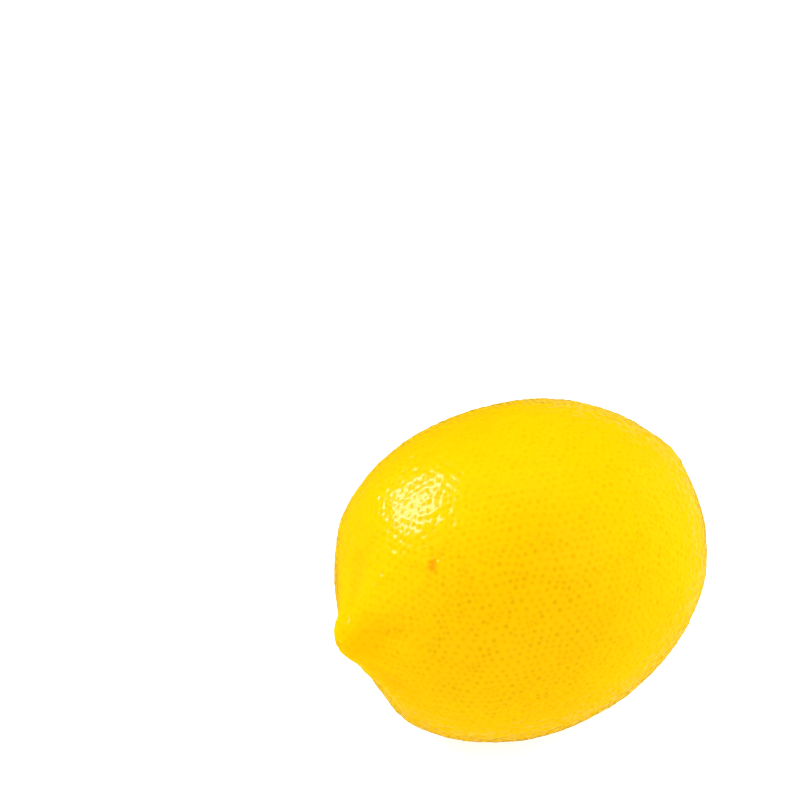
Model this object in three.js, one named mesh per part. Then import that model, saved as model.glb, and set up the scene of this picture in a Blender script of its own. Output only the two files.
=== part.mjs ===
// A ripe lemon as picked: the fruit itself, and the calyx button that stays at its stem end.
// Millimetres, +Z up. The nipple points towards -X and the stem end towards +X. The origin is
// the middle of the small flat spot under the belly on which the fruit rests.
import * as THREE from "three";

// The body is two half ovals that meet at the belly, the widest place.
const BELLY_RADIUS = 30.1;
const NIPPLE_SIDE_LENGTH = 34.5;
const NIPPLE_SIDE_FULLNESS = 2.23;
const STEM_SIDE_LENGTH = 36;
const STEM_SIDE_FULLNESS = 2;

// The nipple: a short blunt cone that flares into the shoulder, gently on one side and with a
// sharper step on the other. It sits a little beside the long axis.
const NIPPLE_RADIUS = 7.8;
const NIPPLE_TIP = 39;
const NIPPLE_DOME = 14.7;
const NIPPLE_BLUNTNESS = 1.9;
const FLARE_GENTLE = 61;
const FLARE_SHARP = 31;
const FLARE_SHARP_SIDE = THREE.MathUtils.degToRad(52);
const NIPPLE_SHIFT = -1.6;

// The belly isn't quite round: it is two- and three-cornered by these shares of its radius.
const TWO_CORNERED = 0.025;
const TWO_CORNERED_SIDE = THREE.MathUtils.degToRad(-61);
const THREE_CORNERED = 0.018;
const THREE_CORNERED_SIDE = THREE.MathUtils.degToRad(12);

// The fruit lies with its nipple a little lower than its stem end.
const DROOP = THREE.MathUtils.degToRad(3.8);

// The stem end: a shallow dish for the button, with a low collar and creases round it.
const DISH_DEPTH = 2.3;
const DISH_RADIUS = 4.4;
const COLLAR_HEIGHT = 0.9;
const COLLAR_RADIUS = 8.5;
const COLLAR_WIDTH = 3.8;
const STEM_CREASES = 6;
const STEM_CREASE_UNEVENNESS = 1.3;
const STEM_CREASE_DEPTH = 0.22;
const STEM_CREASE_RADIUS = 8;
const STEM_CREASE_WIDTH = 3;

// Shallow creases run down the flare of the nipple.
const NIPPLE_CREASES = 5;
const NIPPLE_CREASE_DEPTH = 0.22;
const NIPPLE_CREASE_SIDE = THREE.MathUtils.degToRad(114);
const NIPPLE_CREASE_PLACE = -33.5;
const NIPPLE_CREASE_WIDTH = 3.5;

// Swells and dents of the peel: place along the long axis, turn about it from +Y towards +Z in
// degrees, height outwards, and reach.
const SWELLS = [
  { along: -27, turn: -94, height: 0.5, reach: 6 },
  { along: -31, turn: -78, height: -0.8, reach: 5 },
  { along: -1, turn: -125, height: 0.2, reach: 8 },
  { along: 29.5, turn: 112, height: 0.6, reach: 5 },
  { along: 31, turn: 155, height: -0.45, reach: 9 },
  { along: -33.5, turn: 115, height: 0.8, reach: 5.5 },
];

// The fruit rests on a flat this deep into the belly.
const REST_DEPTH = 0.7;

// The calyx button: five pointed lobes pressed into the dish, round a cut stalk.
const BUTTON_RADIUS = 3.2;
const BUTTON_LOBES = 5;
const LOBE_LENGTH = 0.3;
const LOBE_POINTEDNESS = 1.2;
const STALK_RADIUS = 1.4;
const STALK_TOP = 2.4;
const SEAT_GAP = 0.3;

// The button's section: distance from the axis and height above the dish, from the middle of
// its underside, round the rim and up over the disc, to the middle of the stalk's cut.
const BUTTON_OUTLINE = [
  [0, 0],
  [1.2, 0],
  [2.5, 0],
  [BUTTON_RADIUS, 0.05],
  [BUTTON_RADIUS, 0.4],
  [2.6, 0.75],
  [2, 1],
  [STALK_RADIUS, 1.4],
  [STALK_RADIUS, STALK_TOP],
  [0.7, STALK_TOP],
  [0, STALK_TOP],
];

const FRUIT_RINGS = 66;
const FRUIT_SIDES = 72;
const BUTTON_SIDES = 50;

const bell = (distance, reach) => Math.exp(-((distance / reach) ** 2));
const softStep = (value, softness) => softness * Math.log1p(Math.exp(value / softness));

// Squared radius of the body at a place along the axis, on one side of the fruit.
function squaredRadius(along, turn) {
  if (along > 0) {
    return BELLY_RADIUS ** 2 * (1 - (along / STEM_SIDE_LENGTH) ** STEM_SIDE_FULLNESS);
  }
  const reach = -along;
  const sharpness = 0.5 + 0.5 * Math.cos(turn - FLARE_SHARP_SIDE);
  const flare = THREE.MathUtils.lerp(FLARE_GENTLE, FLARE_SHARP, sharpness);
  const overNipple = BELLY_RADIUS ** 2 - NIPPLE_RADIUS ** 2;
  const body = overNipple * (1 - (reach / NIPPLE_SIDE_LENGTH) ** NIPPLE_SIDE_FULLNESS);
  const dome = Math.max((reach - (NIPPLE_TIP - NIPPLE_DOME)) / NIPPLE_DOME, 0);
  return (NIPPLE_RADIUS ** 2 + softStep(body, flare)) * (1 - dome ** NIPPLE_BLUNTNESS);
}

// How far the belly's cross-section is from a circle: two- and three-cornered, fading to the ends.
function crossSection(along, turn) {
  const fade = Math.max(1 - (along / NIPPLE_SIDE_LENGTH) ** 2, 0);
  const two = TWO_CORNERED * Math.cos(2 * (turn - TWO_CORNERED_SIDE));
  const three = THREE_CORNERED * Math.cos(3 * (turn - THREE_CORNERED_SIDE));
  return 1 + (two + three) * fade;
}

// The stem end's height along the axis at a distance from the axis: oval, dish and collar.
function stemEndHeight(along, radius) {
  const dish = DISH_DEPTH * bell(radius, DISH_RADIUS);
  const collar = COLLAR_HEIGHT * bell(radius - COLLAR_RADIUS, COLLAR_WIDTH);
  return along + collar - dish;
}

function plainPoint(along, turn) {
  const radius = Math.sqrt(Math.max(squaredRadius(along, turn), 0)) * crossSection(along, turn);
  const towardsTip = Math.max(-along / NIPPLE_TIP, 0) ** 3;
  return new THREE.Vector3(
    along > 0 ? stemEndHeight(along, radius) : along,
    radius * Math.cos(turn) + NIPPLE_SHIFT * towardsTip,
    radius * Math.sin(turn),
  );
}

const swells = SWELLS.map(({ along, turn, height, reach }) => ({
  centre: plainPoint(along, THREE.MathUtils.degToRad(turn)),
  height,
  reach,
}));

function creases(point, turn) {
  const fromAxis = Math.hypot(point.y, point.z);
  const atStem = point.x > 0 ? bell(fromAxis - STEM_CREASE_RADIUS, STEM_CREASE_WIDTH) : 0;
  const atNipple = bell(point.x - NIPPLE_CREASE_PLACE, NIPPLE_CREASE_WIDTH);
  const unevenTurn = STEM_CREASES * turn + STEM_CREASE_UNEVENNESS * Math.sin(turn);
  return (
    STEM_CREASE_DEPTH * Math.cos(unevenTurn) * atStem +
    NIPPLE_CREASE_DEPTH * Math.cos(NIPPLE_CREASES * (turn - NIPPLE_CREASE_SIDE)) * atNipple
  );
}

// A point of the peel: the plain oval, moved outwards by its swells and creases.
function peelPoint(along, turn) {
  const point = plainPoint(along, turn);
  const outward = new THREE.Vector3(
    point.x / STEM_SIDE_LENGTH ** 2,
    point.y / BELLY_RADIUS ** 2,
    point.z / BELLY_RADIUS ** 2,
  ).normalize();
  const relief = swells.reduce(
    (sum, { centre, height, reach }) => sum + height * bell(point.distanceTo(centre), reach),
    creases(point, turn),
  );
  return point.addScaledVector(outward, relief);
}

// The fruit is turned about the long axis from rings that crowd towards both ends.
function fruitGeometry() {
  const middle = (STEM_SIDE_LENGTH - NIPPLE_TIP) / 2;
  const half = (STEM_SIDE_LENGTH + NIPPLE_TIP) / 2;
  const profile = [];
  for (let ring = 0; ring <= FRUIT_RINGS; ring++) {
    const along = middle - half * Math.cos((Math.PI * ring) / FRUIT_RINGS);
    const atPole = ring === 0 || ring === FRUIT_RINGS;
    profile.push(new THREE.Vector2(atPole ? 0 : Math.sqrt(squaredRadius(along, 0)), along));
  }
  const geometry = new THREE.LatheGeometry(profile, FRUIT_SIDES);
  const positions = geometry.getAttribute("position");
  for (let i = 0; i < positions.count; i++) {
    const along = positions.getY(i);
    const turn = Math.atan2(positions.getX(i), positions.getZ(i));
    const { x, y, z } = peelPoint(along, turn);
    positions.setXYZ(i, x, y, z);
  }
  return geometry;
}

// How far a lobe reaches past the disc: 1 at its tip, 0 in the hollow between two lobes.
function lobe(turn) {
  const half = Math.PI / BUTTON_LOBES;
  const fromTip = Math.abs(THREE.MathUtils.euclideanModulo(turn + half, 2 * half) - half);
  return (1 - fromTip / half) ** LOBE_POINTEDNESS;
}

// The button is a lobed disc with a cut stalk, bent onto the dish with a small gap under it.
function buttonGeometry() {
  const profile = BUTTON_OUTLINE.map(([radius, height]) => new THREE.Vector2(radius, height));
  const geometry = new THREE.LatheGeometry(profile, BUTTON_SIDES);
  const positions = geometry.getAttribute("position");
  for (let i = 0; i < positions.count; i++) {
    const turn = Math.atan2(positions.getX(i), positions.getZ(i));
    const fromAxis = Math.hypot(positions.getX(i), positions.getZ(i));
    const outer = THREE.MathUtils.smoothstep(fromAxis, STALK_RADIUS, BUTTON_RADIUS);
    const radius = fromAxis * (1 + LOBE_LENGTH * outer * lobe(turn));
    const oval = STEM_SIDE_LENGTH * Math.sqrt(1 - (radius / BELLY_RADIUS) ** 2);
    const seat = stemEndHeight(oval, radius) + SEAT_GAP;
    positions.setXYZ(i, seat + positions.getY(i), radius * Math.cos(turn), radius * Math.sin(turn));
  }
  return geometry;
}

// Flattens the underside to the resting level, and finds where the middle of that flat is.
function restOnFlat(geometry) {
  geometry.computeBoundingBox();
  const level = geometry.boundingBox.min.z + REST_DEPTH;
  const positions = geometry.getAttribute("position");
  const flat = new THREE.Box3();
  for (let i = 0; i < positions.count; i++) {
    if (positions.getZ(i) > level) continue;
    positions.setZ(i, level);
    flat.expandByPoint(new THREE.Vector3().fromBufferAttribute(positions, i));
  }
  return flat.getCenter(new THREE.Vector3());
}

const peel = new THREE.MeshStandardMaterial({ color: 0xf8c808, roughness: 0.42, metalness: 0 });
const driedCalyx = new THREE.MeshStandardMaterial({ color: 0x7d7434, roughness: 0.85, metalness: 0 });

const fruitShape = fruitGeometry().rotateY(-DROOP);
const buttonShape = buttonGeometry().rotateY(-DROOP);
const restingPoint = restOnFlat(fruitShape);

const fruit = new THREE.Mesh(fruitShape, peel);
fruit.name = "fruit";
const button = new THREE.Mesh(buttonShape, driedCalyx);
button.name = "calyx_button";

const lemon = new THREE.Group();
lemon.name = "lemon";
for (const mesh of [fruit, button]) {
  mesh.geometry.computeVertexNormals();
  mesh.position.copy(restingPoint).negate();
  lemon.add(mesh);
}

export default lemon;
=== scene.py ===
# A ripe lemon lying on a pale table: its pitted peel, and the dried calyx button at its stem end.
import math
import random

import bmesh
import bpy
import numpy as np
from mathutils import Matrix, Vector, kdtree, noise


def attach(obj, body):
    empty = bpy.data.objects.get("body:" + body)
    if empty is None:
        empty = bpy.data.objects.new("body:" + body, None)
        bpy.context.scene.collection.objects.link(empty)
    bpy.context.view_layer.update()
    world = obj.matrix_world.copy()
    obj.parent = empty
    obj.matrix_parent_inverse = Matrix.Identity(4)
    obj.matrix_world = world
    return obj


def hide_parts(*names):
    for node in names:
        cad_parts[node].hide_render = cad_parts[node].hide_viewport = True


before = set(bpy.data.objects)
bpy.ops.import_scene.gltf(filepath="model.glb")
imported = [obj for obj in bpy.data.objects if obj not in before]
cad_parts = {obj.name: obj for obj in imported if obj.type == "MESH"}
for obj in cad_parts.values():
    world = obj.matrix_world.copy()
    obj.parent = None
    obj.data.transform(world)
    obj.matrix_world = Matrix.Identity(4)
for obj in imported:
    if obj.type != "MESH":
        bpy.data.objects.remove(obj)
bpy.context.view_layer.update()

# Lengths are in metres and angles in radians. The nipple points along -X and the stem along +X.
MM = 0.001
BODY_CENTRE = Vector((1.25, 0, 30.19)) * MM

# The form of the fruit, as in its solid: two half ovals that meet at the belly.
BELLY_RADIUS = 30.1 * MM
NIPPLE_SIDE_LENGTH = 34.5 * MM
NIPPLE_SIDE_FULLNESS = 2.23
STEM_SIDE_LENGTH = 36 * MM
NIPPLE_RADIUS = 7.8 * MM
NIPPLE_TIP = 39 * MM
NIPPLE_DOME = 14.7 * MM
NIPPLE_BLUNTNESS = 1.9
FLARE_GENTLE = 61 * MM * MM
FLARE_SHARP = 31 * MM * MM
FLARE_SHARP_SIDE = math.radians(52)
NIPPLE_SHIFT = -1.6 * MM
TWO_CORNERED = 0.025
TWO_CORNERED_SIDE = math.radians(-61)
THREE_CORNERED = 0.018
THREE_CORNERED_SIDE = math.radians(12)
DROOP = math.radians(3.8)
DISH_DEPTH = 2.3 * MM
DISH_RADIUS = 4.4 * MM
COLLAR_HEIGHT = 0.9 * MM
COLLAR_RADIUS = 8.5 * MM
COLLAR_WIDTH = 3.8 * MM
STEM_CREASES = 6
STEM_CREASE_UNEVENNESS = 1.3
STEM_CREASE_DEPTH = 0.22 * MM
STEM_CREASE_RADIUS = 8 * MM
STEM_CREASE_WIDTH = 3 * MM
NIPPLE_CREASES = 5
NIPPLE_CREASE_DEPTH = 0.22 * MM
NIPPLE_CREASE_SIDE = math.radians(114)
NIPPLE_CREASE_PLACE = -33.5 * MM
NIPPLE_CREASE_WIDTH = 3.5 * MM

# Swells and dents: place along the axis, turn about it in degrees, height, reach; in millimetres.
SWELLS = (
    (-27, -94, 0.5, 6),
    (-31, -78, -0.8, 5),
    (-1, -125, 0.2, 8),
    (29.5, 112, 0.6, 5),
    (31, 155, -0.45, 9),
    (-33.5, 115, 0.8, 5.5),
)

# The oil glands: one sits at each corner of an even net over the fruit, moved a little at random.
GLAND_NET_CUTS = 6
GLAND_WANDER = 0.036
GLAND_SMOOTHINGS = 3
GLAND_SEED = 7
BETWEEN_GLANDS_CUTS = 2
ON_BALL = 0.00001
AXIS_STEPS = 2000

# The pits over the glands, a few of them deep and most of them shallow.
PIT_RADIUS = 0.6 * MM
PIT_DEPTH = 0.36 * MM
SMALLEST_PIT = 0.4
BIG_PIT_RARITY = 3
PIT_SEED = 5

# Low waves and fine ripples of the peel, by the number of them in a metre.
WAVE_HEIGHT = 0.15 * MM
WAVE_SCALE = 150
RIPPLE_HEIGHT = 0.16 * MM
RIPPLE_SCALE = 800

# Fine wrinkles run out from the button. Slow bends move them, and they are deeper in some places.
WRINKLES = 17
WRINKLE_DEPTH = 0.3 * MM
WRINKLE_RADIUS = 5.6 * MM
WRINKLE_REACH = 2.4 * MM
WRINKLE_WIDE_BENDS = 3
WRINKLE_WIDE_BEND = 2
WRINKLE_CLOSE_BENDS = 5
WRINKLE_CLOSE_BEND = 1.5
WRINKLE_DEEP_PLACES = 4
WRINKLE_UNEVENNESS = 0.4

# Marks on the peel, and the places of painted shade and painted reflection: place along the axis and
# turn about it.
BLEMISH = (-26.3 * MM, math.radians(128))
CREASE_SHADE_SIDE = (-36 * MM, math.radians(160))
PAINTED_SHADE_SIDE = (-18 * MM, math.radians(168))
UNREFLECTING_SIDE = (-23 * MM, math.radians(100))
STEM_END = (STEM_SIDE_LENGTH, 0)
NIPPLE_END = (-NIPPLE_TIP, 0)

# The calyx button, as in its solid.
BUTTON_RADIUS = 3.2 * MM
BUTTON_LOBES = 5
LOBE_LENGTH = 0.3
LOBE_POINTEDNESS = 1.2
STALK_RADIUS = 1.4 * MM
STALK_TOP = 2.4 * MM
SEAT_GAP = 0.3 * MM
BUTTON_OUTLINE = (
    (0, 0),
    (1.2 * MM, 0),
    (2.5 * MM, 0),
    (BUTTON_RADIUS, 0.05 * MM),
    (BUTTON_RADIUS, 0.4 * MM),
    (2.6 * MM, 0.75 * MM),
    (2 * MM, 1 * MM),
    (STALK_RADIUS, 1.4 * MM),
    (STALK_RADIUS, STALK_TOP),
    (0.7 * MM, STALK_TOP),
    (0, STALK_TOP),
)

# The button's finer shape: uneven lobes with a ragged edge, wrinkles, ribs, and a hollow stub.
LOBE_SHARES = (0.85, 1.1, 0.7, 1, 0.95)
BUTTON_CUTS = 6
BUTTON_SMOOTHINGS = 3
BUTTON_STEPS = 200
SAME_CORNER = 0.01 * MM
RAGGED_EDGE = 0.05
RAGGED_SCALE = 1500
BUTTON_WRINKLE = 0.25 * MM
BUTTON_WRINKLE_SCALE = 700
BUTTON_CRINKLE = 0.12 * MM
BUTTON_CRINKLE_SCALE = 2200
RIBS = 35
RIB_HEIGHT = 0.08 * MM
RIB_BEND = 3
RIB_BEND_SCALE = 400
SMOOTH_UNDERSIDE = 0.5 * MM
STALK_HOLLOW = 0.5 * MM
STALK_HOLLOW_RADIUS = 0.7 * MM
STALK_HOLLOW_FROM = 1.9 * MM

# The peel's colours, with those of its painted shade and painted reflection, as red, green, blue and
# opacity.
PEEL_DEEP = (0.93, 0.5, 0.0005, 1)
PEEL_PALE = (0.95, 0.58, 0.0005, 1)
PEEL_PAINTED_SHADE = (0.88, 0.45, 0.0005, 1)
VALLEY_SHADE_TINT = (0.9, 0.42, 0.0005, 1)
STEM_VALLEY_SHADE_TINT = (0.66, 0.34, 0.0005, 1)
NIPPLE_CREASE_SHADE_TINT = (0.97, 0.43, 0.0005, 1)
PORE_TINT = (0.28, 0.2, 0.0005, 1)
RIM_REFLECTION_TINT = (0.98, 0.7, 0.15, 1)
BLEMISH_TINT = (0.8, 0.31, 0.002, 1)
STEM_GREEN = (0.56, 0.46, 0.005, 1)
TIP_SCAR = (0.75, 0.38, 0.02, 1)

# How far from its place on the peel each tint fades out, and within what distance it is full.
PAINTED_SHADE_REACH = (30 * MM, 8 * MM)
STEM_VALLEY_SHADE_REACH = (13 * MM, 8 * MM)
NIPPLE_CREASE_SHADE_REACH = (7 * MM, 1 * MM)
BLEMISH_REACH = (1.5 * MM, 0.3 * MM)
BLEMISH_RAGGEDNESS = 1.2 * MM
STEM_GREEN_REACH = (8 * MM, 3 * MM)
TIP_SCAR_REACH = (0.8 * MM, 0.3 * MM)

# How much of each tint shows.
PAINTED_SHADE_SHARE = 0.65
VALLEY_SHADE_SHARE = 0.4
VALLEY_SHADE_SHARE_MORE_AT_STEM = 0.35
STEM_CREASE_SHADE_SHOWN = 0.3
NIPPLE_CREASE_SHADE_SHARE = 0.6
STEM_GREEN_SHARE = 0.6
PORE_SHARE = 0.07
PORE_SHARE_MORE_IN_PAINTED_SHADE = 0.13
SMALLEST_PORE = 0.45

# A pale, patchy painted reflection towards the rim. It starts beyond the side of the peel that shows
# none.
RIM_REFLECTION_FACING = (0.56, 0.88)
RIM_REFLECTION_PATCHES = (0.4, 0.6)
REFLECTING_FROM = (26 * MM, 38 * MM)
RIM_REFLECTION_SHARE = 0.03
RIM_REFLECTION_SHARE_MORE_AWAY = 0.45

# The peel's finest relief and its wax, by distance from the nearest gland in millimetres.
PORE_FADE = (0.7, 0)
DIMPLE = (0, 0.45)
WAX_EDGE = (0.2, 0.38)
WAX_HOLE_BY_SIZE = 0.15
WAX_IN_HOLES = 0.03
WAX_OFF_NIPPLE = 0.7
NIPPLE_REACH = (14 * MM, 6 * MM)
GRAIN_SHARE = 0.7
GRAIN_DEPTH = 0.05 * MM
WAX_ROUGHNESS = 0.12
WAX_IOR = 1.15

# Light sinks a little way into the peel, its blue the least.
SINKING_SHARE = 0.12
SINKING_COLOUR = (1.0, 0.6, 0.05)
SINKING_DEPTH = 1.5 * MM

# How many patches, specks and grains of colour or relief there are in a metre.
YELLOW_PATCH_SCALE = 70
RIM_REFLECTION_SCALE = 800
BLEMISH_SCALE = 800
GRAIN_SCALE = 1300
CALYX_MOTTLE_SCALE = 700
CALYX_EDGE_SCALE = 1500
CALYX_GRAIN_SCALE = 2500

# The dried calyx: mottled, darker at its edge, with a paler cut across the stalk.
CALYX_DARK = (0.2, 0.13, 0.025, 1)
CALYX_OLIVE = (0.46, 0.34, 0.09, 1)
CALYX_EDGE = (0.13, 0.065, 0.012, 1)
STALK_BARK = (0.3, 0.18, 0.05, 1)
STALK_CUT = (0.46, 0.35, 0.14, 1)
CALYX_MOTTLE = (0.3, 0.7)
CALYX_EDGE_REACH = (3.4 * MM, 4.8 * MM)
CALYX_EDGE_UNEVENNESS = 1.2 * MM
STALK_BARK_REACH = (1.5 * MM, 1.2 * MM)
STALK_CUT_REACH = (1.2 * MM, 0.9 * MM)
CALYX_GRAIN_DEPTH = 0.08 * MM
CALYX_ROUGHNESS = 0.8
CALYX_SHEEN = 0.1

# The camera: it looks this way over the middle of the picture, and the fruit lies off centre.
PICTURE = 800
LENS = 100
SENSOR = 36
VIEW_AZIMUTH = math.radians(-32)
VIEW_ELEVATION = math.radians(26)
VIEW_DISTANCE = 0.4
NEAREST_SEEN = 0.01
FRUIT_PIXEL = (519.2, 565.8)

# The lights: each one's side of the fruit, as shares of the camera's right, up and back, and watts.
KEY_SIDE = (-0.76, 0.64, 0.08)
KEY_DISTANCE = 0.8
KEY_SIZE = 0.36
KEY_POWER = 2.9
SHINE_SIZE = 0.46
SHINE_POWER = 30
SOFTBOX_DISTANCE = 1.2
SOFTBOX_SIZE = 1
SOFTBOXES = (
    ("right, behind", (0.9, 0.4, -0.3), 8),
    ("above", (0, 0.9, 0.44), 6.8),
    ("right, in front", (0.7, 0.1, 0.7), 7.2),
    ("left, in front", (-0.7, 0.1, 0.7), 5.1),
)
WHITE = (1, 1, 1, 1)
BLACK = (0, 0, 0, 1)
SKY = 0.3
SKY_SEEN = 1

# The table: how it glows, for the camera too, and how much of it the fruit's shine shows.
TABLE_RADIUS = 0.9
TABLE_SIDES = 96
TABLE_PALENESS = 0.7
TABLE_ROUGHNESS = 0.9
TABLE_GLOW = 0.35
TABLE_SEEN = 0.38
TABLE_MIRRORED = 0.05


def bell(distance, reach):
    return np.exp(-((distance / reach) ** 2))


def soft_step(value, softness):
    return softness * np.logaddexp(0, value / softness)


# The form of the peel

def squared_radius(along, turn):
    """Squared radius of the body at a place along the axis, on one side of the fruit."""
    stem_side = BELLY_RADIUS**2 * (1 - (np.maximum(along, 0) / STEM_SIDE_LENGTH) ** 2)
    reach = np.maximum(-along, 0)
    sharpness = 0.5 + 0.5 * np.cos(turn - FLARE_SHARP_SIDE)
    flare = FLARE_GENTLE + (FLARE_SHARP - FLARE_GENTLE) * sharpness
    over_nipple = BELLY_RADIUS**2 - NIPPLE_RADIUS**2
    body = over_nipple * (1 - (reach / NIPPLE_SIDE_LENGTH) ** NIPPLE_SIDE_FULLNESS)
    dome = np.maximum((reach - (NIPPLE_TIP - NIPPLE_DOME)) / NIPPLE_DOME, 0)
    nipple_side = NIPPLE_RADIUS**2 + soft_step(body, flare)
    nipple_side = nipple_side * (1 - np.minimum(dome, 1) ** NIPPLE_BLUNTNESS)
    return np.maximum(np.where(along > 0, stem_side, nipple_side), 0)


def cross_section(along, turn):
    """How far the belly is from round: two- and three-cornered, fading to the ends."""
    fade = np.maximum(1 - (along / NIPPLE_SIDE_LENGTH) ** 2, 0)
    two = TWO_CORNERED * np.cos(2 * (turn - TWO_CORNERED_SIDE))
    three = THREE_CORNERED * np.cos(3 * (turn - THREE_CORNERED_SIDE))
    return 1 + (two + three) * fade


def stem_end_height(along, radius):
    """The stem end's height along the axis at a distance from the axis: oval, dish and collar."""
    dish = DISH_DEPTH * bell(radius, DISH_RADIUS)
    collar = COLLAR_HEIGHT * bell(radius - COLLAR_RADIUS, COLLAR_WIDTH)
    return along + collar - dish


def plain_point(along, turn):
    """A point of the oval with its nipple and stem end, before swells and creases."""
    radius = np.sqrt(squared_radius(along, turn)) * cross_section(along, turn)
    towards_tip = np.maximum(-along / NIPPLE_TIP, 0) ** 3
    x = np.where(along > 0, stem_end_height(along, radius), along)
    y = radius * np.cos(turn) + NIPPLE_SHIFT * towards_tip
    z = radius * np.sin(turn)
    return np.stack([x, y, z], axis=-1)


def creases(point, turn):
    """Height of the shallow creases at both ends: below 0 in a crease, above it between two."""
    from_axis = np.hypot(point[..., 1], point[..., 2])
    at_stem = np.where(point[..., 0] > 0, bell(from_axis - STEM_CREASE_RADIUS, STEM_CREASE_WIDTH), 0)
    at_nipple = bell(point[..., 0] - NIPPLE_CREASE_PLACE, NIPPLE_CREASE_WIDTH)
    uneven_turn = STEM_CREASES * turn + STEM_CREASE_UNEVENNESS * np.sin(turn)
    stem = STEM_CREASE_DEPTH * np.cos(uneven_turn) * at_stem
    nipple = NIPPLE_CREASE_DEPTH * np.cos(NIPPLE_CREASES * (turn - NIPPLE_CREASE_SIDE)) * at_nipple
    return stem + nipple


def peel_point(along, turn):
    """A point of the peel: the plain oval, moved outwards by its swells and creases."""
    point = plain_point(along, turn)
    halves = np.array([STEM_SIDE_LENGTH, BELLY_RADIUS, BELLY_RADIUS])
    outward = point / halves**2
    outward /= np.linalg.norm(outward, axis=-1, keepdims=True)
    relief = creases(point, turn)
    for place, side, height, reach in SWELLS:
        centre = plain_point(np.array(place * MM), np.array(math.radians(side)))
        relief = relief + height * MM * bell(np.linalg.norm(point - centre, axis=-1), reach * MM)
    return point + outward * relief[..., None]


def laid_down(points):
    """The points with the fruit's axis dipped at the nipple, and its centre at its place."""
    x, y, z = points.T
    dipped_x = x * math.cos(DROOP) - z * math.sin(DROOP)
    dipped_z = x * math.sin(DROOP) + z * math.cos(DROOP)
    return np.stack([dipped_x, y, dipped_z], axis=-1) + np.array(BODY_CENTRE)


def place_along(polar):
    """Place along the axis for an angle from the nipple's tip, in even steps over the peel."""
    middle = (STEM_SIDE_LENGTH - NIPPLE_TIP) / 2
    half = (STEM_SIDE_LENGTH + NIPPLE_TIP) / 2
    along = middle - half * np.cos(np.linspace(0, math.pi, AXIS_STEPS))
    radius = np.sqrt(squared_radius(along, np.zeros_like(along)))
    length = np.concatenate([[0], np.cumsum(np.hypot(np.diff(along), np.diff(radius)))])
    return np.interp(polar / math.pi, length / length[-1], along)


# The peel

def gland_net():
    """A finely divided ball, whose corners that lie right on it are the places of the glands."""
    rng = random.Random(GLAND_SEED)
    ball = bmesh.new()
    bmesh.ops.create_icosphere(ball, subdivisions=3, radius=1)
    bmesh.ops.subdivide_edges(ball, edges=ball.edges[:], cuts=GLAND_NET_CUTS, use_grid_fill=True)
    for gland in ball.verts:
        wander = Vector((rng.gauss(0, 1), rng.gauss(0, 1), rng.gauss(0, 1))) * GLAND_WANDER
        gland.co = gland.co.normalized() + wander
    for _ in range(GLAND_SMOOTHINGS):
        bmesh.ops.smooth_vert(
            ball, verts=ball.verts, factor=0.5, use_axis_x=True, use_axis_y=True, use_axis_z=True
        )
    for gland in ball.verts:
        gland.co.normalize()
    bmesh.ops.subdivide_edges(
        ball, edges=ball.edges[:], cuts=BETWEEN_GLANDS_CUTS, use_grid_fill=True
    )
    mesh = bpy.data.meshes.new("peel")
    ball.to_mesh(mesh)
    ball.free()
    return mesh


def vectors(items, name):
    """One vector a row, read from a mesh's vertices or faces."""
    values = np.empty(len(items) * 3)
    items.foreach_get(name, values)
    return values.reshape(-1, 3)


def tree_of(glands):
    tree = kdtree.KDTree(len(glands))
    for index, gland in enumerate(glands):
        tree.insert(gland, index)
    tree.balance()
    return tree


def nearest(tree, places):
    """For each place, which gland is nearest and how far off it is."""
    found = [tree.find(place) for place in places.tolist()]
    return np.array([index for _, index, _ in found]), np.array([away for _, _, away in found])


def waves(points):
    """Low swells and fine ripples of the peel, from smooth noise."""
    heights = np.empty(len(points))
    for index, point in enumerate(points):
        place = Vector(point)
        heights[index] = WAVE_HEIGHT * noise.noise(place * WAVE_SCALE)
        heights[index] += RIPPLE_HEIGHT * noise.noise(place * RIPPLE_SCALE)
    return heights


def wrinkles(points, turn):
    """How deep the uneven wrinkles round the button are: up to 1 in the middle of a wrinkle."""
    from_axis = np.hypot(points[:, 1], points[:, 2])
    reach = np.where(points[:, 0] > 0, bell(from_axis - WRINKLE_RADIUS, WRINKLE_REACH), 0)
    wide_bends = WRINKLE_WIDE_BEND * np.sin(WRINKLE_WIDE_BENDS * turn + 1)
    close_bends = WRINKLE_CLOSE_BEND * np.sin(WRINKLE_CLOSE_BENDS * turn)
    wrinkle = np.maximum(np.cos(WRINKLES * turn + wide_bends + close_bends), 0) ** 2
    uneven = 1 - WRINKLE_UNEVENNESS + WRINKLE_UNEVENNESS * np.sin(WRINKLE_DEEP_PLACES * turn)
    return wrinkle * uneven * reach


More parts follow.
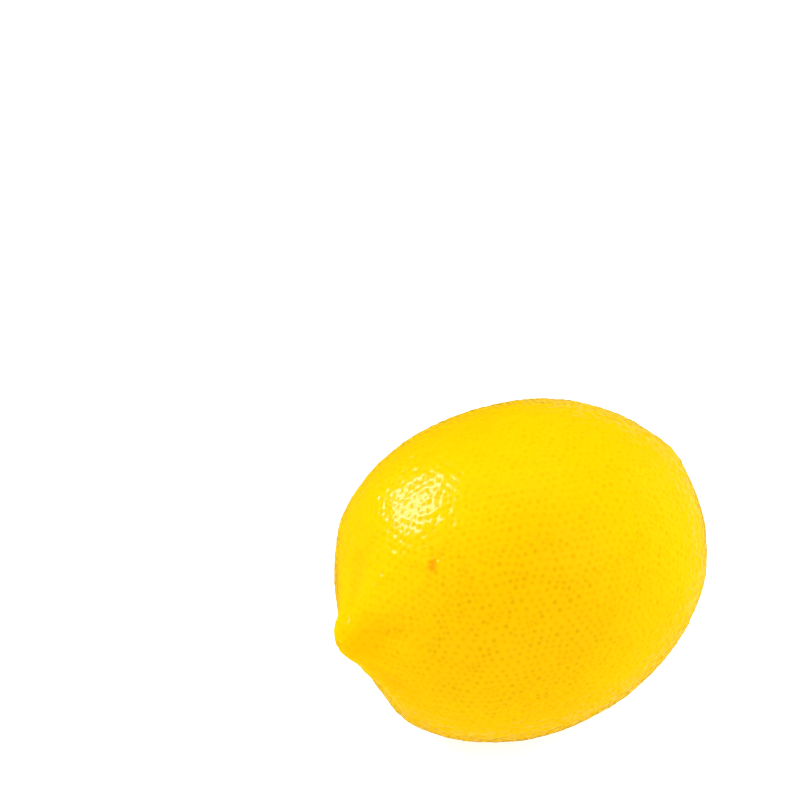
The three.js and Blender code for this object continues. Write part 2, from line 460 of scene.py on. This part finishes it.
def grow_peel():
    """The peel over the whole fruit, with its pits, waves and wrinkles as real relief."""
    mesh = gland_net()
    ball = vectors(mesh.vertices, "co")
    length = np.linalg.norm(ball, axis=1)
    is_gland = length > 1 - ON_BALL
    direction = ball / length[:, None]
    polar = np.arccos(np.clip(-direction[:, 0], -1, 1))
    turn = np.arctan2(direction[:, 2], direction[:, 1])
    points = peel_point(place_along(polar), turn)
    mesh.vertices.foreach_set("co", points.ravel())
    mesh.update()

    glands = points[is_gland]
    chances = np.random.default_rng(PIT_SEED).uniform(0, 1, len(glands))
    sizes = SMALLEST_PIT + (1 - SMALLEST_PIT) * chances**BIG_PIT_RARITY
    tree = tree_of(glands)
    wrinkled = wrinkles(points, turn)
    mark_valley_shade(mesh, points, turn, wrinkled)
    mark_pores(mesh, points, glands, sizes, tree)

    gland_of_point, away = nearest(tree, points)
    pit = np.maximum(1 - (away / PIT_RADIUS) ** 2, 0) ** 2
    relief = waves(points) - PIT_DEPTH * sizes[gland_of_point] * pit - WRINKLE_DEPTH * wrinkled
    outward = vectors(mesh.vertex_normals, "vector")
    points = laid_down(points + outward * relief[:, None])
    points[:, 2] = np.maximum(points[:, 2], 0)
    mesh.vertices.foreach_set("co", points.ravel())
    mesh.update()
    mesh.shade_smooth()
    peel = bpy.data.objects.new("lemon_peel", mesh)
    bpy.context.collection.objects.link(peel)
    return peel


def mark_valley_shade(mesh, points, turn, wrinkled):
    """Gives each corner how far it lies down in a crease or a wrinkle, for the painted shade there."""
    creased = np.maximum(-creases(points, turn), 0) / STEM_CREASE_DEPTH
    shown = np.where(points[:, 0] > 0, STEM_CREASE_SHADE_SHOWN, 1)
    valley_shade = mesh.attributes.new("valley_shade", "FLOAT", "POINT")
    valley_shade.data.foreach_set("value", np.minimum(creased * shown + wrinkled, 1))


def mark_pores(mesh, points, glands, sizes, tree):
    """Gives each face the size of its nearest gland, and each of its corners the way from it."""
    gland_of_face, _ = nearest(tree, vectors(mesh.polygons, "center"))
    size = mesh.attributes.new("gland_size", "FLOAT", "FACE")
    size.data.foreach_set("value", sizes[gland_of_face])
    corners = np.empty(len(mesh.loops), dtype=np.int32)
    mesh.loops.foreach_get("vertex_index", corners)
    way = (points[corners] - glands[np.repeat(gland_of_face, 3)]) / MM
    from_gland = mesh.attributes.new("from_gland", "FLOAT_VECTOR", "CORNER")
    from_gland.data.foreach_set("vector", way.ravel())


# The calyx button

def lobe(turn):
    """How far a lobe reaches past the disc, each by its own share: 0 between two lobes."""
    half = math.pi / BUTTON_LOBES
    which = round(turn / (2 * half)) % BUTTON_LOBES
    from_tip = abs((turn + half) % (2 * half) - half)
    return LOBE_SHARES[which] * (1 - from_tip / half) ** LOBE_POINTEDNESS


def grow_button():
    """The button's outline, smoothed and turned about its axis, then bent onto the dish."""
    shape = bmesh.new()
    corners = [shape.verts.new((height, radius, 0)) for radius, height in BUTTON_OUTLINE]
    edges = [shape.edges.new(pair) for pair in zip(corners, corners[1:])]
    bmesh.ops.subdivide_edges(shape, edges=edges, cuts=BUTTON_CUTS)
    ends = {corners[0], corners[-1]}
    for _ in range(BUTTON_SMOOTHINGS):
        between = [corner for corner in shape.verts if corner not in ends]
        bmesh.ops.smooth_vert(shape, verts=between, factor=0.5, use_axis_x=True, use_axis_y=True)
    bmesh.ops.spin(
        shape,
        geom=shape.verts[:] + shape.edges[:],
        cent=(0, 0, 0),
        axis=(1, 0, 0),
        angle=2 * math.pi,
        steps=BUTTON_STEPS,
        use_merge=True,
    )
    bmesh.ops.remove_doubles(shape, verts=shape.verts, dist=SAME_CORNER)
    for corner in shape.verts:
        corner.co = button_point(*corner.co)
    bmesh.ops.recalc_face_normals(shape, faces=shape.faces)
    mesh = bpy.data.meshes.new("button")
    shape.to_mesh(mesh)
    shape.free()
    mesh.shade_smooth()
    button = bpy.data.objects.new("lemon_calyx", mesh)
    bpy.context.collection.objects.link(button)
    return button


def button_lift(place, turn, from_axis, outer):
    """How far a point of the button is raised by its wrinkles and ribs, or sunk in the stub."""
    height = place.x
    wrinkle = BUTTON_WRINKLE * noise.noise(place * BUTTON_WRINKLE_SCALE)
    crinkle = BUTTON_CRINKLE * noise.noise(place * BUTTON_CRINKLE_SCALE)
    bend = RIB_BEND * noise.noise(place * RIB_BEND_SCALE)
    ribs = RIB_HEIGHT * math.cos(RIBS * turn + bend) * outer
    above = min(height / SMOOTH_UNDERSIDE, 1)
    hollow = STALK_HOLLOW * math.exp(-((from_axis / STALK_HOLLOW_RADIUS) ** 2))
    if height <= STALK_HOLLOW_FROM:
        hollow = 0
    return (wrinkle + crinkle + ribs) * above - hollow


def button_point(height, y, z):
    """Bends a point of the plain disc onto the dish, with its lobe and its finer shape."""
    turn = math.atan2(z, y)
    from_axis = math.hypot(y, z)
    outer = min(max((from_axis - STALK_RADIUS) / (BUTTON_RADIUS - STALK_RADIUS), 0), 1)
    outer = outer * outer * (3 - 2 * outer)
    place = Vector((height, y, z))
    ragged = RAGGED_EDGE * noise.noise(place * RAGGED_SCALE) * outer
    radius = from_axis * (1 + LOBE_LENGTH * outer * lobe(turn) + ragged)
    oval = STEM_SIDE_LENGTH * math.sqrt(1 - (radius / BELLY_RADIUS) ** 2)
    seat = stem_end_height(oval, radius) + SEAT_GAP
    top = seat + height + button_lift(place, turn, from_axis, outer)
    return laid_down(np.array([[top, radius * math.cos(turn), radius * math.sin(turn)]]))[0]


# Materials

class Shader:
    """A material's node tree, with short calls that add its nodes."""

    def __init__(self, name):
        self.material = bpy.data.materials.new(name)
        self.material.use_nodes = True
        self.tree = self.material.node_tree
        self.surface = self.tree.nodes["Principled BSDF"].inputs
        self.place = self.node("ShaderNodeTexCoord").outputs["Object"]

    def feed(self, socket, value):
        if isinstance(value, bpy.types.NodeSocket):
            self.tree.links.new(value, socket)
        else:
            socket.default_value = value

    def node(self, kind, inputs=None, **settings):
        added = self.tree.nodes.new(kind)
        for name, value in settings.items():
            setattr(added, name, value)
        for key, value in (inputs or {}).items():
            self.feed(added.inputs[key], value)
        return added

    def attribute(self, name):
        return self.node("ShaderNodeAttribute", attribute_name=name).outputs

    def mix(self, share, first, second):
        return self.node("ShaderNodeMix", {0: share, 6: first, 7: second}, data_type="RGBA").outputs[2]

    def times(self, first, second):
        return self.node("ShaderNodeMath", {0: first, 1: second}, operation="MULTIPLY").outputs[0]

    def plus(self, first, second):
        return self.node("ShaderNodeMath", {0: first, 1: second}, operation="ADD").outputs[0]

    def least_and_more(self, share, least, more):
        """The least where the share is 0, and this much more where it is 1."""
        return self.plus(self.times(share, more), least)

    def grade(self, value, none, full):
        """0 where the value is at none, 1 where it is at full, and smooth between."""
        inputs = {"Value": value, "From Min": none, "From Max": full}
        return self.node("ShaderNodeMapRange", inputs, interpolation_type="SMOOTHSTEP").outputs[0]

    def noise(self, scale, detail):
        inputs = {"Vector": self.place, "Scale": scale, "Detail": detail}
        return self.node("ShaderNodeTexNoise", inputs).outputs["Fac"]

    def bump(self, depth, height):
        return self.node("ShaderNodeBump", {"Distance": depth, "Height": height}).outputs["Normal"]

    def away(self, centre):
        """Distance from a place on the fruit."""
        inputs = {0: self.place, 1: centre}
        return self.node("ShaderNodeVectorMath", inputs, operation="DISTANCE").outputs["Value"]

    def near(self, centre, outer, inner):
        """1 within the inner distance of a place on the fruit, and 0 beyond the outer one."""
        return self.grade(self.away(centre), outer, inner)


def on_peel(along, turn):
    """Where a place on the fruit lies in the scene."""
    point = peel_point(np.array([along]), np.array([turn]))
    return tuple(laid_down(point)[0])


def paint_valley_shade(shader, colour):
    """Painted shade: deeper yellow in the creases and wrinkles, and in the crease beside the nipple.
    """
    # Painted shade in the creases and wrinkles, stronger and browner near the stem.
    at_stem = shader.near(on_peel(*STEM_END), *STEM_VALLEY_SHADE_REACH)
    showing = shader.least_and_more(at_stem, VALLEY_SHADE_SHARE, VALLEY_SHADE_SHARE_MORE_AT_STEM)
    valley_shade = shader.times(shader.attribute("valley_shade")["Fac"], showing)
    colour = shader.mix(valley_shade, colour, shader.mix(at_stem, VALLEY_SHADE_TINT, STEM_VALLEY_SHADE_TINT))
    # Painted shade on the nipple's lower flank, beside its crease.
    at_crease_shade = shader.near(on_peel(*CREASE_SHADE_SIDE), *NIPPLE_CREASE_SHADE_REACH)
    return shader.mix(shader.times(at_crease_shade, NIPPLE_CREASE_SHADE_SHARE), colour, NIPPLE_CREASE_SHADE_TINT)


def tint_pores(shader, colour, from_gland, gland_size, painted_shade):
    """Ochre pores over the glands, which show most within the painted shade of the belly's lower
    middle.
    """
    pore = shader.grade(from_gland, *PORE_FADE)
    pore = shader.times(pore, shader.plus(gland_size, SMALLEST_PORE))
    showing = shader.least_and_more(painted_shade, PORE_SHARE, PORE_SHARE_MORE_IN_PAINTED_SHADE)
    return shader.mix(shader.times(pore, showing), colour, PORE_TINT)


def paint_rim_reflection(shader, colour):
    """A pale, patchy painted reflection that shows towards the rim, away from the side without it."""
    rim = shader.node("ShaderNodeLayerWeight", {"Blend": 0.5}).outputs["Facing"]
    patches = shader.grade(shader.noise(RIM_REFLECTION_SCALE, 2), *RIM_REFLECTION_PATCHES)
    rim_reflection = shader.times(shader.grade(rim, *RIM_REFLECTION_FACING), patches)
    # The painted reflection is kept off the side round the highlight.
    reflecting_side = shader.grade(shader.away(on_peel(*UNREFLECTING_SIDE)), *REFLECTING_FROM)
    showing = shader.least_and_more(reflecting_side, RIM_REFLECTION_SHARE, RIM_REFLECTION_SHARE_MORE_AWAY)
    return shader.mix(shader.times(rim_reflection, showing), colour, RIM_REFLECTION_TINT)


def tint_marks(shader, colour):
    """The small blemish, the greener dish under the button and the scar at the nipple's tip."""
    specks = shader.noise(BLEMISH_SCALE, 3)
    ragged = shader.least_and_more(specks, BLEMISH_RAGGEDNESS, -2 * BLEMISH_RAGGEDNESS)
    from_blemish = shader.plus(shader.away(on_peel(*BLEMISH)), ragged)
    colour = shader.mix(shader.grade(from_blemish, *BLEMISH_REACH), colour, BLEMISH_TINT)
    green = shader.near(on_peel(*STEM_END), *STEM_GREEN_REACH)
    colour = shader.mix(shader.times(green, STEM_GREEN_SHARE), colour, STEM_GREEN)
    scar = shader.near(on_peel(*NIPPLE_END), *TIP_SCAR_REACH)
    return shader.mix(scar, colour, TIP_SCAR)


def peel_wax(shader, from_gland, gland_size):
    """Shiny wax between the glands, with a dull hole over each, and thinner on the nipple."""
    hole = shader.plus(from_gland, shader.times(gland_size, -WAX_HOLE_BY_SIZE))
    wax = shader.least_and_more(shader.grade(hole, *WAX_EDGE), WAX_IN_HOLES, 1 - WAX_IN_HOLES)
    nipple = shader.near(on_peel(*NIPPLE_END), *NIPPLE_REACH)
    return shader.times(wax, shader.least_and_more(nipple, 1, -WAX_OFF_NIPPLE))


def peel_material():
    """Yellow peel, ochre pores, painted shade and painted rim reflection; its wax misses the glands.
    """
    shader = Shader("lemon_peel")
    way = shader.attribute("from_gland")["Vector"]
    from_gland = shader.node("ShaderNodeVectorMath", {0: way}, operation="LENGTH").outputs["Value"]
    gland_size = shader.attribute("gland_size")["Fac"]
    # A deeper golden patch on the belly's lower middle: painted shade, where the pores also show more.
    painted_shade = shader.near(on_peel(*PAINTED_SHADE_SIDE), *PAINTED_SHADE_REACH)

    colour = shader.mix(shader.noise(YELLOW_PATCH_SCALE, 3), PEEL_DEEP, PEEL_PALE)
    colour = shader.mix(shader.times(painted_shade, PAINTED_SHADE_SHARE), colour, PEEL_PAINTED_SHADE)
    colour = paint_valley_shade(shader, colour)
    colour = tint_pores(shader, colour, from_gland, gland_size, painted_shade)
    colour = paint_rim_reflection(shader, colour)
    colour = tint_marks(shader, colour)
    grain = shader.times(shader.noise(GRAIN_SCALE, 2), GRAIN_SHARE)
    height = shader.plus(shader.grade(from_gland, *DIMPLE), grain)

    shader.feed(shader.surface["Base Color"], colour)
    shader.feed(shader.surface["Normal"], shader.bump(GRAIN_DEPTH, height))
    shader.feed(shader.surface["Coat Weight"], peel_wax(shader, from_gland, gland_size))
    shader.surface["Coat Roughness"].default_value = WAX_ROUGHNESS
    shader.surface["Coat IOR"].default_value = WAX_IOR
    shader.surface["Specular IOR Level"].default_value = 0
    shader.surface["Subsurface Weight"].default_value = SINKING_SHARE
    shader.surface["Subsurface Radius"].default_value = SINKING_COLOUR
    shader.surface["Subsurface Scale"].default_value = SINKING_DEPTH
    return shader.material


def calyx_material():
    """Dry olive-brown lobes, darker at their edge, round the paler cut of the stalk."""
    shader = Shader("dried_calyx")
    middle = Vector(on_peel(*STEM_END))
    axis = Vector((math.cos(DROOP), 0, math.sin(DROOP)))
    stub_top = middle + axis * (SEAT_GAP + STALK_TOP)

    mottle = shader.grade(shader.noise(CALYX_MOTTLE_SCALE, 4), *CALYX_MOTTLE)
    colour = shader.mix(mottle, CALYX_DARK, CALYX_OLIVE)
    uneven = shader.times(shader.noise(CALYX_EDGE_SCALE, 2), CALYX_EDGE_UNEVENNESS)
    edge = shader.grade(shader.plus(shader.away(middle), uneven), *CALYX_EDGE_REACH)
    colour = shader.mix(edge, colour, CALYX_EDGE)
    colour = shader.mix(shader.near(stub_top, *STALK_BARK_REACH), colour, STALK_BARK)
    colour = shader.mix(shader.near(stub_top, *STALK_CUT_REACH), colour, STALK_CUT)
    grain = shader.bump(CALYX_GRAIN_DEPTH, shader.noise(CALYX_GRAIN_SCALE, 4))

    shader.feed(shader.surface["Base Color"], colour)
    shader.feed(shader.surface["Normal"], grain)
    shader.surface["Roughness"].default_value = CALYX_ROUGHNESS
    shader.surface["Specular IOR Level"].default_value = CALYX_SHEEN
    return shader.material


def table_material():
    """A pale table that glows, most of all to the camera, and is faint in the fruit's shine."""
    shader = Shader("pale_table")
    ray = shader.node("ShaderNodeLightPath").outputs
    inputs = {"Value": ray["Is Glossy Ray"], "To Min": 1, "To Max": TABLE_MIRRORED}
    share = shader.node("ShaderNodeMapRange", inputs).outputs[0]
    white = shader.node("ShaderNodeCombineColor", {0: share, 1: share, 2: share}).outputs[0]
    glow = shader.times(share, TABLE_GLOW)
    seen = shader.times(ray["Is Camera Ray"], TABLE_SEEN)
    shader.feed(shader.surface["Base Color"], shader.mix(TABLE_PALENESS, BLACK, white))
    shader.feed(shader.surface["Emission Strength"], shader.plus(glow, seen))
    shader.surface["Emission Color"].default_value = WHITE
    shader.surface["Roughness"].default_value = TABLE_ROUGHNESS
    shader.surface["Specular IOR Level"].default_value = 0
    return shader.material


# The stage

def view_axes(azimuth, elevation):
    """The camera's right, up and back directions."""
    right = Vector((math.cos(azimuth), math.sin(azimuth), 0))
    back = Vector((
        math.sin(azimuth) * math.cos(elevation),
        -math.cos(azimuth) * math.cos(elevation),
        math.sin(elevation),
    ))
    return right, back.cross(right), back


def set_camera():
    """Aims the camera so that the middle of the fruit lies at its pixel of the picture."""
    right, up, back = view_axes(VIEW_AZIMUTH, VIEW_ELEVATION)
    pixel = VIEW_DISTANCE * SENSOR / LENS / PICTURE
    across = (FRUIT_PIXEL[0] - PICTURE / 2) * pixel
    down = (FRUIT_PIXEL[1] - PICTURE / 2) * pixel
    data = bpy.data.cameras.new("camera")
    data.lens = LENS
    data.sensor_width = SENSOR
    data.clip_start = NEAREST_SEEN
    camera = bpy.data.objects.new("camera", data)
    camera.location = BODY_CENTRE + back * VIEW_DISTANCE - right * across + up * down
    camera.rotation_euler = back.to_track_quat("Z", "Y").to_euler()
    bpy.context.collection.objects.link(camera)
    bpy.context.scene.camera = camera


def add_softbox(name, side, distance, size, power):
    """A disc light that faces the fruit and lights it without a reflection."""
    right, up, back = view_axes(VIEW_AZIMUTH, VIEW_ELEVATION)
    direction = (side[0] * right + side[1] * up + side[2] * back).normalized()
    data = bpy.data.lights.new(name, "AREA")
    data.shape = "DISK"
    data.size = size
    data.energy = power
    light = bpy.data.objects.new(name, data)
    light.location = BODY_CENTRE + direction * distance
    light.rotation_euler = direction.to_track_quat("Z", "Y").to_euler()
    light.visible_glossy = False
    bpy.context.collection.objects.link(light)
    return light


def set_lights():
    """The key light, the shine that only the wax reflects, and the softboxes all round."""
    add_softbox("key", KEY_SIDE, KEY_DISTANCE, KEY_SIZE, KEY_POWER)
    shine = add_softbox("shine", KEY_SIDE, KEY_DISTANCE, SHINE_SIZE, SHINE_POWER)
    shine.visible_glossy = True
    shine.visible_diffuse = False
    for name, side, power in SOFTBOXES:
        add_softbox(name, side, SOFTBOX_DISTANCE, SOFTBOX_SIZE, power)


def set_surroundings():
    """A soft light from all sides, white to the camera and unseen in the fruit's shine."""
    world = bpy.data.worlds.new("studio")
    world.use_nodes = True
    tree = world.node_tree
    sky = tree.nodes["Background"].inputs
    sky["Color"].default_value = WHITE
    ray = tree.nodes.new("ShaderNodeLightPath")
    strength = tree.nodes.new("ShaderNodeMapRange")
    strength.inputs["To Min"].default_value = SKY
    strength.inputs["To Max"].default_value = SKY_SEEN
    tree.links.new(ray.outputs["Is Camera Ray"], strength.inputs["Value"])
    tree.links.new(strength.outputs[0], sky["Strength"])
    world.cycles_visibility.glossy = False
    bpy.context.scene.world = world
    bpy.context.scene.view_settings.view_transform = "Standard"


def add_table():
    shape = bmesh.new()
    bmesh.ops.create_circle(shape, cap_ends=True, segments=TABLE_SIDES, radius=TABLE_RADIUS)
    mesh = bpy.data.meshes.new("table")
    shape.to_mesh(mesh)
    shape.free()
    table = bpy.data.objects.new("table", mesh)
    mesh.materials.append(table_material())
    bpy.context.collection.objects.link(table)


set_camera()
set_lights()
set_surroundings()
add_table()

peel = grow_peel()
peel.data.materials.append(peel_material())
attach(peel, "root")
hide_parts("fruit")

button = grow_button()
button.data.materials.append(calyx_material())
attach(button, "root")
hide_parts("calyx_button")
